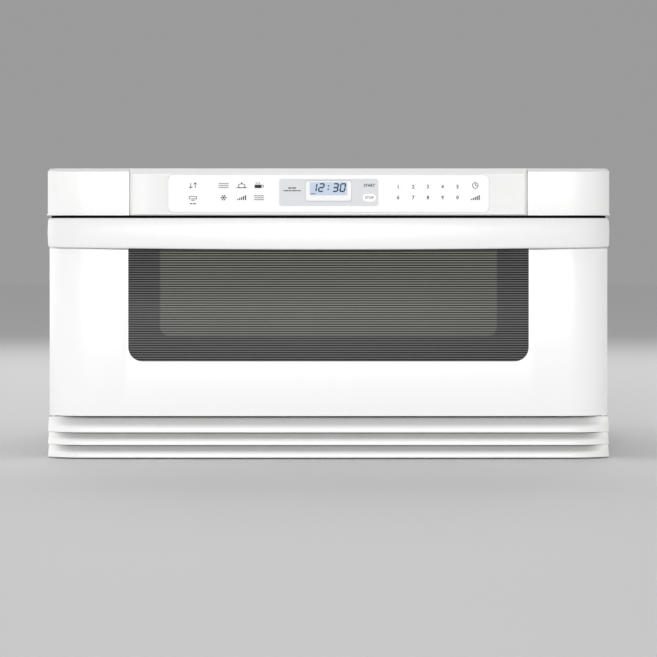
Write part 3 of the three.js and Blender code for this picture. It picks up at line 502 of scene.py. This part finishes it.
# Spins a vertex about an upright axis, makes the edges of its path and gives the last vertex
def arc(bm, vertex, centre, angle, steps):
    made = bmesh.ops.spin(bm, geom=[vertex], cent=centre, axis=(0, 0, 1), angle=angle, steps=steps)
    return [v for v in made["geom_last"] if isinstance(v, bmesh.types.BMVert)][0]


# A chain of edges along the face in plan, offset outwards, at one height
def planChain(bm, half, front, out, z, back):
    bow = face["crown"]
    radius = face["cornerRadius"] + out
    turn = face["cornerTurn"]
    halfOut = half + out
    frontOut = front - out
    guess = halfOut - radius * math.sin(turn)
    lean = math.atan(2 * bow / guess)
    flat = halfOut - radius * (math.sin(turn) - math.sin(lean))
    bowRadius = (flat * flat + bow * bow) / (2 * bow)
    bowAngle = math.asin(flat / bowRadius)
    first = bmesh.ops.create_vert(bm, co=(0, frontOut, z))["vert"][0]
    last = arc(bm, first, (0, frontOut + bowRadius, z), bowAngle, face["bowSteps"])
    centreX = last.co.x - radius * math.sin(bowAngle)
    centreY = last.co.y + radius * math.cos(bowAngle)
    last = arc(bm, last, (centreX, centreY, z), turn - bowAngle, face["cornerSteps"])
    end = bmesh.ops.extrude_vert_indiv(bm, verts=[last])["verts"][0]
    end.co = (last.co.x, back, z)


# Levels for wrap from a profile in millimetres, measured from a height, up or down
def levelsFrom(height, profile, up=1):
    return [(height + up * z * mm, *(value * mm for value in rest)) for z, *rest in profile]


# A shell round the face through levels of (height, offset outwards, ...), open at the back.
# Shift gives the move of each point backwards, from its place across the front and its level.
def wrap(levels, half, front, back, shift=None):
    bm = bmesh.new()
    chains = []
    for level in levels:
        edgesBefore = set(bm.edges)
        verticesBefore = set(bm.verts)
        planChain(bm, half, front, level[1], level[0], back)
        chains.append([e for e in bm.edges if e not in edgesBefore])
        for v in (v for v in bm.verts if v not in verticesBefore):
            moved = v.co.y + (shift(v.co.x, level) if shift else 0)
            v.co.y = min(moved, back)
    for low, high in zip(chains, chains[1:]):
        bmesh.ops.bridge_loops(bm, edges=low + high)
    geometry = bm.verts[:] + bm.edges[:] + bm.faces[:]
    bmesh.ops.mirror(bm, geom=geometry, matrix=Matrix.Identity(4), merge_dist=mergeDistance, axis="X")
    bmesh.ops.remove_doubles(bm, verts=bm.verts, dist=mergeDistance)
    bmesh.ops.recalc_face_normals(bm, faces=bm.faces)
    foremost = min(bm.faces, key=lambda f: f.calc_center_median().y)
    if foremost.normal.y > 0:
        bmesh.ops.reverse_faces(bm, faces=bm.faces)
    return bm


# How far a place across the front lies from end (0) to full (1)
def shareBetween(x, full, end):
    return max(0.0, min(1.0, (end - abs(x)) / (end - full)))


def thicken(made, thickness):
    solid = made.modifiers.new("wall", "SOLIDIFY")
    solid.thickness = thickness
    solid.offset = -1
    solid.use_even_offset = True
    apply(made)
    smooth(made.data)


# A rounded plate in the XZ plane, from a box whose corners are bevelled
def roundedPlate(low, high, corner, segments):
    bm = bmesh.new()
    boxIn(bm, low, high)
    deep = [e for e in bm.edges if abs(e.verts[0].co.y - e.verts[1].co.y) > (high[1] - low[1]) / 2]
    rounding = {"offset": corner, "offset_type": "OFFSET", "segments": segments, "profile": 0.5}
    bmesh.ops.bevel(bm, geom=deep, affect="EDGES", material=-1, clamp_overlap=True, **rounding)
    bmesh.ops.recalc_face_normals(bm, faces=bm.faces)
    return bm


def cutAway(made, cutterMesh):
    cutter = build("cutter", cutterMesh)
    boolean = made.modifiers.new("cut", "BOOLEAN")
    boolean.operation = "DIFFERENCE"
    boolean.solver = "EXACT"
    boolean.object = cutter
    bpy.context.view_layer.update()
    apply(made)
    bpy.data.objects.remove(cutter)
    smooth(made.data)


# Drawer front panel

print("drawer front")
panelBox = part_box("drawer_front_panel")
panelLook = {
    "half": panelBox[1].x,
    "front": panelBox[0].y,
    "back": panelBox[1].y,
    "wall": 0.0015,
    # How far the panel and the handle stop short of their CAD height, for the gap above them
    "topGap": 0.0007,
    # Height in from the top or bottom edge and offset outwards, in millimetres
    "edge": ((0, -30), (0, -1.2), (0.36, -0.36), (1.2, 0)),
    # The window's cutter, which starts in front of the panel and ends inside it
    "windowLow": (-0.27, panelBox[0].y - 0.01, 0.1317),
    "windowHigh": (0.27, -0.035, 0.3),
    "windowCorner": 0.019,
    "windowSegments": 8,
}
panelTop = panelBox[1].z - panelLook["topGap"]


def drawerPanel(values):
    levels = levelsFrom(panelBox[0].z, values["edge"])
    levels += levelsFrom(panelTop, reversed(values["edge"]), -1)
    bm = wrap(levels, values["half"], values["front"], values["back"])
    made = place("drawer_panel", bm, "drawer", "white_paint", ["drawer_front_panel"])
    thicken(made, values["wall"])
    window = (values["windowLow"], values["windowHigh"], values["windowCorner"], values["windowSegments"])
    cutAway(made, roundedPlate(*window))


drawerPanel(panelLook)
refine("window_glass", edge=0.0003)


# Painted shade over the drawer: a near-black strip in the gap between the drawer and the control strip,
# standing in for the shadow in that gap

print("drawer top gap shade")
gapShadeLook = {
    # Height above the panel and offset outwards, in millimetres
    "profile": ((0, -11.5), (0, -2.5), (2.9, -2.5), (3.3, -2.9), (3.3, -11.5), (0, -11.5)),
}


def topSeal(values):
    levels = levelsFrom(panelTop, values["profile"])
    bm = wrap(levels, panelLook["half"], panelLook["front"], panelLook["back"])
    bmesh.ops.holes_fill(bm, edges=bm.edges)
    bmesh.ops.recalc_face_normals(bm, faces=bm.faces)
    place("drawer_top_gap_shade", bm, "drawer", "dark_plastic", material=paintedGapShade)


topSeal(gapShadeLook)


# Handle

print("handle")


# Leaves the dark gap above the handle as wide as the photograph shows it
def handleTop(bm):
    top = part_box("handle_bar")[1].z
    for v in bm.verts:
        if v.co.z > top - 0.1 * mm:  # a point of the top edge
            v.co.z = top - panelLook["topGap"]


refine("handle_bar", edge=0.0006, material=shadedHandlePaint, change=handleTop)


# Trims and control panel

print("control strip")
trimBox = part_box("left_corner_trim")
stripLook = {
    "inner": 0.2683,
    "wall": 0.0015,
    "sideChamfer": 0.0028,
    "slopeFull": 0.35,
    "slopeEnd": 0.379,
    # Height above the trim's bottom, offset outwards and depth of the slope, in millimetres
    "foot": (
        (0, -48.5, 0),
        (0, 0.85, 0),
        (0.4, 1.25, 0),
        (1.8, 1.25, 0),
        (2.2, 0.85, 0),
        (2.3, 0.2, 0),
        (2.8, 0, 0),
    ),
    # The same below the trim's top
    "crest": ((4.4, 0, 0), (3.6, -0.3, 0.6), (0.4, -2.5, 10.9), (0, -3.2, 11.5), (0, -48.5, 0)),
}


# Keeps what lies beyond a plane across the front
def keepBeyond(bm, x, side):
    geometry = bm.verts[:] + bm.edges[:] + bm.faces[:]
    plane = {"plane_co": (side * x, 0, 0), "plane_no": (side, 0, 0)}
    bmesh.ops.bisect_plane(bm, geom=geometry, clear_inner=True, dist=1e-7, **plane)


def cornerTrim(name, side, values):
    levels = levelsFrom(trimBox[0].z, values["foot"]) + levelsFrom(trimBox[1].z, values["crest"], -1)

    def shift(x, level):
        return level[2] * shareBetween(x, values["slopeFull"], values["slopeEnd"])

    bm = wrap(levels, face["half"], face["front"], trimBox[1].y, shift)
    keepBeyond(bm, values["inner"], side)
    node = name + "_corner_trim"
    made = place(node + "_shell", bm, "housing", "white_plastic", [node])
    thicken(made, values["wall"])


# Slopes off the bezel's front edge beside each seam
def bezelChamfer(bm):
    low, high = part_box("control_bezel")
    edgeY = low.y + face["crown"] * (high.x / faceFlat) ** 2 + stripLook["sideChamfer"]
    for side in (-1, 1):
        geometry = bm.verts[:] + bm.edges[:] + bm.faces[:]
        plane = {"plane_co": (side * high.x, edgeY, 0), "plane_no": (side, -1, 0)}
        cut = bmesh.ops.bisect_plane(bm, geom=geometry, clear_outer=True, **plane)
        edges = [e for e in cut["geom_cut"] if isinstance(e, bmesh.types.BMEdge)]
        bmesh.ops.triangle_fill(bm, edges=edges, use_beauty=True, use_dissolve=True)


cornerTrim("left", -1, stripLook)
cornerTrim("right", 1, stripLook)
refine("control_bezel", edge=0.0008, material=bezelPlastic, change=bezelChamfer)
refine("keypad_membrane", edge=0.0002)
refine("display_lens", edge=0.0003)
refine("lcd_module", edge=0.0004)


# Printed marks

print("printed marks")
upright = Matrix.Rotation(math.pi / 2, 4, "X")
textLook = {"curveSteps": 3, "bolder": 0.025, "capital": 0.7}


# Flat shapes in the face's plane, drawn in millimetres and then laid on a curved front
class Sheet:
    def __init__(self):
        self.bm = bmesh.new()

    def add(self, made, x, z, stretch, turn=0, slant=0):
        move = Matrix.Translation((x * mm, 0, z * mm)) @ Matrix.Rotation(math.radians(turn), 4, "Y")
        shear = Matrix.Identity(4)
        shear[0][2] = slant
        scale = Matrix.Diagonal((stretch[0] * mm, 1, stretch[1] * mm, 1))
        bmesh.ops.transform(self.bm, matrix=move @ shear @ scale, verts=made)

    def circle(self, sides, filled):
        shape = {"cap_ends": filled, "segments": sides, "radius": 0.5}
        return bmesh.ops.create_circle(self.bm, matrix=upright, **shape)["verts"]

    def bar(self, x, z, width, height, turn=0, slant=0):
        made = bmesh.ops.create_grid(self.bm, x_segments=1, y_segments=1, size=0.5, matrix=upright)
        self.add(made["verts"], x, z, (width, height), turn, slant)

    def disc(self, x, z, width, height, sides):
        self.add(self.circle(sides, True), x, z, (width, height))

    def ring(self, x, z, width, height, line, sides=36):
        edges = []
        for inset in (0, line):
            made = self.circle(sides, False)
            edges += list({e for v in made for e in v.link_edges})
            self.add(made, x, z, (width - 2 * inset, height - 2 * inset))
        bmesh.ops.bridge_loops(self.bm, edges=edges)

    # A circle pulled apart into a bar with round ends
    def pill(self, x, z, width, height, sides=26):
        made = self.circle(sides, True)
        for v in made:
            v.co.x += math.copysign((width / height - 1) / 2, v.co.x)
        self.add(made, x, z, (height, height))

    def text(self, words, x, z, height):
        curve = bpy.data.curves.new("words", "FONT")
        curve.body = words
        curve.align_x = "CENTER"
        curve.align_y = "CENTER"
        curve.resolution_u = textLook["curveSteps"]
        curve.offset = textLook["bolder"]
        made = linked("words", curve)
        before = set(self.bm.verts)
        self.bm.from_mesh(evaluatedMesh(made))
        bpy.data.objects.remove(made)
        letters = [v for v in self.bm.verts if v not in before]
        bmesh.ops.rotate(self.bm, verts=letters, matrix=upright.to_3x3())
        size = height / textLook["capital"]
        self.add(letters, x, z, (size, size))

    # A row of short bars with gaps between them, like very small print
    def dashes(self, x, z, widths, height, gap=0.7):
        start = x - (sum(widths) + gap * (len(widths) - 1)) / 2
        for width in widths:
            self.bar(start + width / 2, z, width, height)
            start += width + gap

    # Lays the shapes, a little proud, on the front that has its foremost point at y = front
    def lay(self, name, front, proud, material, slot):
        for v in self.bm.verts:
            v.co.y = front - proud * mm + face["crown"] * (v.co.x / faceFlat) ** 2
        bmesh.ops.recalc_face_normals(self.bm, faces=self.bm.faces)
        wrong = [f for f in self.bm.faces if f.normal.y > 0]
        bmesh.ops.reverse_faces(self.bm, faces=wrong)
        place(name, self.bm, "housing", slot, material=material)


# Small signs for the keys, about 13 mm wide: each stroke's kind, its place from the
# sign's middle, its width and height, then a bar's turn or a ring's line and number of sides
signs = {
    "wave": [
        ("bar", -5.5 + step * 2.2, row * 2.6, 2.6, 0.8, 30 if step % 2 else -30)
        for row in (-1, 0, 1)
        for step in range(6)
    ],
    "dish": [("bar", 0, -3, 14, 1), ("ring", 0, -0.4, 10, 6.2, 0.9), ("disc", 0, 3.4, 1.7, 1.7, 12)],
    "cup": [
        ("bar", -1.4, -1.2, 9, 4.6),
        ("ring", 4.4, -0.8, 4.2, 3.8, 0.9, 20),
        ("bar", -3.8, 3, 0.8, 2.6, 14),
        ("bar", -1.4, 3, 0.8, 2.6, 14),
        ("bar", 1, 3, 0.8, 2.6, 14),
    ],
    "clock": [("ring", 0, 0, 8.4, 8.4, 0.9), ("bar", 0, 1.3, 0.8, 2.8), ("bar", 1.2, 0, 2.8, 0.8)],
    "power": [("bar", -5.2 + i * 2.6, -2.3 + i * 0.6, 1.6, 1.6 + i * 1.2) for i in range(5)],
    "drawer": [
        ("bar", 0, -1.6, 10.5, 0.8),
        ("bar", 0, 1.6, 10.5, 0.8),
        ("bar", -4.85, 0, 0.8, 3.8),
        ("bar", 4.85, 0, 0.8, 3.8),
        ("bar", 0, -3.4, 5, 0.9),
    ],
    "frost": [("bar", 0, 0, 8.4, 0.8, turn) for turn in (0, 60, 120)],
    "level": [("bar", -3, 0, 0.9, 7), ("bar", 3, 0, 0.9, 7)],
}
for turn in (0, 60, 120, 180, 240, 300):
    tip = Vector((3.1, 0)) @ Matrix.Rotation(math.radians(turn), 2)
    signs["frost"].append(("bar", tip.x, tip.y, 2.4, 0.7, turn + 90))
for step in (-1, 1):
    for side in (-1, 1):
        signs["level"].append(("bar", step * 3 + side * 1.1, step * 2.7, 3.2, 0.9, side * step * 42))

keys = {
    "digitX": [93.8, 114.0, 133.8, 153.6, 173.7],
    "digitZ": [366.9, 352.4],
    "digitHeight": 4.6,
    "oval": (12, 7, 0.22),  # width, height and line
    # The keys with signs: their columns, rows and outlines
    "signX": [-182.4, -141.2, -116.9, -93.6, 197.6],
    "upperZ": 368.8,
    "upperSigns": ["level", "wave", "dish", "cup", "clock"],
    "lowerZ": 352.4,
    "lowerSigns": ["drawer", "frost", "power", "wave", "power"],
    "outline": (19, 11.6, 0.2),  # width, height and line
    "drawerOutline": (-182.4, 351.8, 16, 11, 0.3),  # its place, then the same
    "start": (55.1, 368.8, 3.6),  # place and letter height
    "stop": (55.1, 352.4, 3.4),  # place and letter height
    "stopPill": (55.1, 352.4, 17.5, 10.4),  # place, width and height
    # Place, widths and height of the rows of short bars
    "dashes": [
        (-182.4, 344.3, (3.4, 4.2), 1.3),
        (-48.9, 365.4, (4.2, 5.8), 1.5),
        (-48.9, 361.8, (6.2, 3.6, 7.2, 3.8), 1.2),
    ],
    # How far the prints stand off the membrane, in millimetres
    "paleProud": 0.04,
    "whiteProud": 0.05,
    "digitProud": 0.06,
    "signProud": 0.08,
}
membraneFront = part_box("keypad_membrane")[0].y


def digitKeys(values):
    numbers = Sheet()
    ovals = Sheet()
    for row, z in enumerate(values["digitZ"]):
        for i, x in enumerate(values["digitX"]):
            digit = (row * len(values["digitX"]) + i + 1) % 10
            numbers.text(str(digit), x, z, values["digitHeight"])
            ovals.ring(x, z, *values["oval"])
    numbers.lay("key_digits", membraneFront, values["digitProud"], ink, "membrane")
    ovals.lay("key_ovals", membraneFront, values["paleProud"], faintInk, "membrane")


def drawSign(sheet, name, x, z):
    strokes = {"bar": sheet.bar, "ring": sheet.ring, "disc": sheet.disc}
    for kind, right, up, *sizes in signs[name]:
        strokes[kind](x + right, z + up, *sizes)


def keyLabels(values):
    black = Sheet()
    pale = Sheet()
    white = Sheet()
    for z, names in ((values["upperZ"], values["upperSigns"]), (values["lowerZ"], values["lowerSigns"])):
        for column, name in enumerate(names):
            x = values["signX"][column]
            drawSign(black, name, x, z)
            if column > 0:
                pale.ring(x, z, *values["outline"])
    pale.ring(*values["drawerOutline"])
    for row in values["dashes"]:
        black.dashes(*row)
    black.text("START", *values["start"])
    black.text("STOP", *values["stop"])
    white.pill(*values["stopPill"])
    black.lay("key_signs", membraneFront, values["signProud"], ink, "membrane")
    pale.lay("key_outlines", membraneFront, values["paleProud"], faintInk, "membrane")
    white.lay("stop_key", membraneFront, values["whiteProud"], whiteInk, "membrane")


# Slanted seven-segment figures: each segment's place across and up, and whether it lies or stands
segments = {
    "top": (0, 1, "lies"),
    "middle": (0, 0, "lies"),
    "bottom": (0, -1, "lies"),
    "upperLeft": (-1, 0.5, "stands"),
    "upperRight": (1, 0.5, "stands"),
    "lowerLeft": (-1, -0.5, "stands"),
    "lowerRight": (1, -0.5, "stands"),
}
litSegments = {
    "0": ["top", "bottom", "upperLeft", "upperRight", "lowerLeft", "lowerRight"],
    "1": ["upperRight", "lowerRight"],
    "2": ["top", "upperRight", "middle", "lowerLeft", "bottom"],
    "3": ["top", "upperRight", "middle", "lowerRight", "bottom"],
}
figures = {
    "width": 6.0,
    "height": 10.2,
    "line": 1.9,
    "gap": 0.3,
    "pitch": 9.6,
    "slant": 0.16,
    "z": 366.0,
    "colonUp": 2.3,
    "colonLean": 0.32,
    "dashes": (-20.5, 357.6, (3.0, 2.2), 1.2),  # place, widths and height
    "proud": 0.06,
}


def displayFigures(words, values):
    sheet = Sheet()
    line = values["line"]
    gap = values["gap"]
    slant = values["slant"]
    sizes = {"lies": (values["width"] - 2 * gap, line), "stands": (line, values["height"] / 2 - 2 * gap)}
    start = -values["pitch"] * (len(words) - 1) / 2
    for i, letter in enumerate(words):
        x = start + i * values["pitch"]
        if letter == ":":
            for side in (-1, 1):
                dotX = x + side * values["colonLean"]
                sheet.bar(dotX, values["z"] + side * values["colonUp"], line, line, 0, slant)
            continue
        for name in litSegments[letter]:
            across, up, way = segments[name]
            offset = up * values["height"] / 2
            segmentX = x + across * values["width"] / 2 + slant * offset
            sheet.bar(segmentX, values["z"] + offset, *sizes[way], 0, slant)
    sheet.dashes(*values["dashes"])
    sheet.lay("display_figures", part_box("display_lens")[0].y, values["proud"], segmentInk, "lcd")


digitKeys(keys)
keyLabels(keys)
displayFigures("12:30", figures)


# Louvre

print("louvre")
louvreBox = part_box("louvre_grille")
louvreLook = {
    "bottoms": (0.002, 0.019, 0.036),
    "pitch": 0.017,
    "wall": 0.0016,
    "back": louvreBox[1].y,
    "recessFull": 0.343,
    "recessEnd": 0.3795,
    "ribs": [-0.28 + i * 0.56 / 6 for i in range(7)],
    "ribFront": -0.0255,
    "ribHalf": 0.001,
    "ribBottom": 0.003,
    "ribTop": 0.05,
    # Height above the tip, offset outwards and depth of the recess, in millimetres
    "profile": (
        (0.0, -0.55, 0.0),
        (0.25, -0.15, 0.0),
        (0.7, 0.0, 0.0),
        (3.0, -0.2, 0.0),
        (4.6, -0.35, 0.04),
        (5.6, -0.45, 0.28),
        (6.6, -0.52, 0.8),
        (7.6, -0.6, 1.65),
        (8.6, -0.7, 3.2),
        (9.6, -0.8, 5.5),
        (11.4, -0.95, 10.6),
        (13.4, -1.1, 16.4),
        (15.3, -1.3, 21.9),
        (16.75, -1.45, 26.1),
    ),
    # The top blade turns back at the grille's top, which takes the place of the profile's last
    # level. Height below the top, offset outwards and depth, in millimetres
    "topTurn": ((0.9, -1.45, 37.9535), (0.3, -1.65, 38.3535), (0, -2.15, 40.5)),
}


def louvreBlade(name, bottom, top, values, isTop):
    stretch = (top - bottom) / values["pitch"]
    profile = [(z * stretch, out, depth * stretch**2) for z, out, depth in values["profile"]]
    levels = levelsFrom(bottom, profile)
    if isTop:
        levels = levels[:-1] + levelsFrom(top, values["topTurn"], -1)

    # Runs out smoothly towards the ends
    def shift(x, level):
        share = shareBetween(x, values["recessFull"], values["recessEnd"])
        return level[2] * share * share * (3 - 2 * share)

    bm = wrap(levels, face["half"], face["front"], values["back"], shift)
    made = place(name, bm, "housing", "white_plastic", ["louvre_grille"])
    thicken(made, values["wall"])


def louvreRibs(values):
    bm = bmesh.new()
    for x in values["ribs"]:
        low = (x - values["ribHalf"], values["ribFront"], values["ribBottom"])
        high = (x + values["ribHalf"], values["back"], values["ribTop"])
        boxIn(bm, low, high)
    place("louvre_ribs", bm, "housing", "white_plastic", ["louvre_grille"])


bladeTops = [*louvreLook["bottoms"][1:], louvreBox[1].z]
for number, (bladeBottom, bladeTop) in enumerate(zip(louvreLook["bottoms"], bladeTops), 1):
    isTopBlade = number == len(bladeTops)
    louvreBlade(f"louvre_blade_{number}", bladeBottom, bladeTop, louvreLook, isTopBlade)
louvreRibs(louvreLook)


# Everything else keeps its CAD shape

print("other pieces")
done = {name for o in bpy.data.objects for name in o.get("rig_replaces", [])}
for nodeName in sorted(frame["nodes"]):
    if nodeName not in done:
        refine(nodeName, edge=0.0003)


# Stage, lights, camera

print("stage")
stageLook = {
    "floorTone": 0.93,
    "floorRoughness": 0.7,
    "floorHalf": 12,
    "worldStrength": 0.33,
    "cameraPlace": (0, -4.5, 0.321),
    "cameraDown": 0.155,
    "focal": 181.0,
    "sensor": 36,
    "shift": -0.15,
}
# Where each light is, what it shines at, its width and height in metres and its watts
lights = {
    "topLight": ((0, 0.2, 3.0), (0, 0.2, 0), (2.4, 1.6), 8),
    "frontLight": ((-0.3, -9.0, 1.3), (0, 0, 0.2), (1.8, 0.4), 500),
    "leftLight": ((-3.2, 0.1, 0.6), (0, 0, 0.2), (0.9, 1.4), 20),
    "backLight": ((0, 3.4, 2.2), (0, 0.3, 0.2), (3.0, 1.6), 30),
}


def floor(values):
    bm = bmesh.new()
    bmesh.ops.create_grid(bm, x_segments=1, y_segments=1, size=values["floorHalf"])
    made = build("floor", bm)
    paint = Shader("floorPaint", Roughness=values["floorRoughness"])
    paint.surface.inputs["Base Color"].default_value = shade(values["floorTone"])
    made.data.materials.append(paint.material)


def softLight(name, where, towards, size, power):
    light = bpy.data.lights.new(name, "AREA")
    light.shape = "RECTANGLE"
    light.size, light.size_y = size
    light.energy = power
    made = linked(name, light)
    made.location = where
    made.rotation_euler = (Vector(towards) - Vector(where)).to_track_quat("-Z", "Y").to_euler()
    made.visible_camera = False


def pictureCamera(values):
    camera = bpy.data.cameras.new("camera")
    camera.lens = values["focal"]
    camera.sensor_width = values["sensor"]
    camera.shift_y = values["shift"]
    made = linked("camera", camera)
    made.location = values["cameraPlace"]
    made.rotation_euler = (math.radians(90 - values["cameraDown"]), 0, 0)
    bpy.context.scene.camera = made


floor(stageLook)
for lightName, light in lights.items():
    softLight(lightName, *light)
world = bpy.data.worlds.new("studio")
world.use_nodes = True
world.node_tree.nodes["Background"].inputs["Color"].default_value = shade(1.0)
world.node_tree.nodes["Background"].inputs["Strength"].default_value = stageLook["worldStrength"]
bpy.context.scene.world = world
bpy.context.scene.view_settings.view_transform = "Standard"
pictureCamera(stageLook)
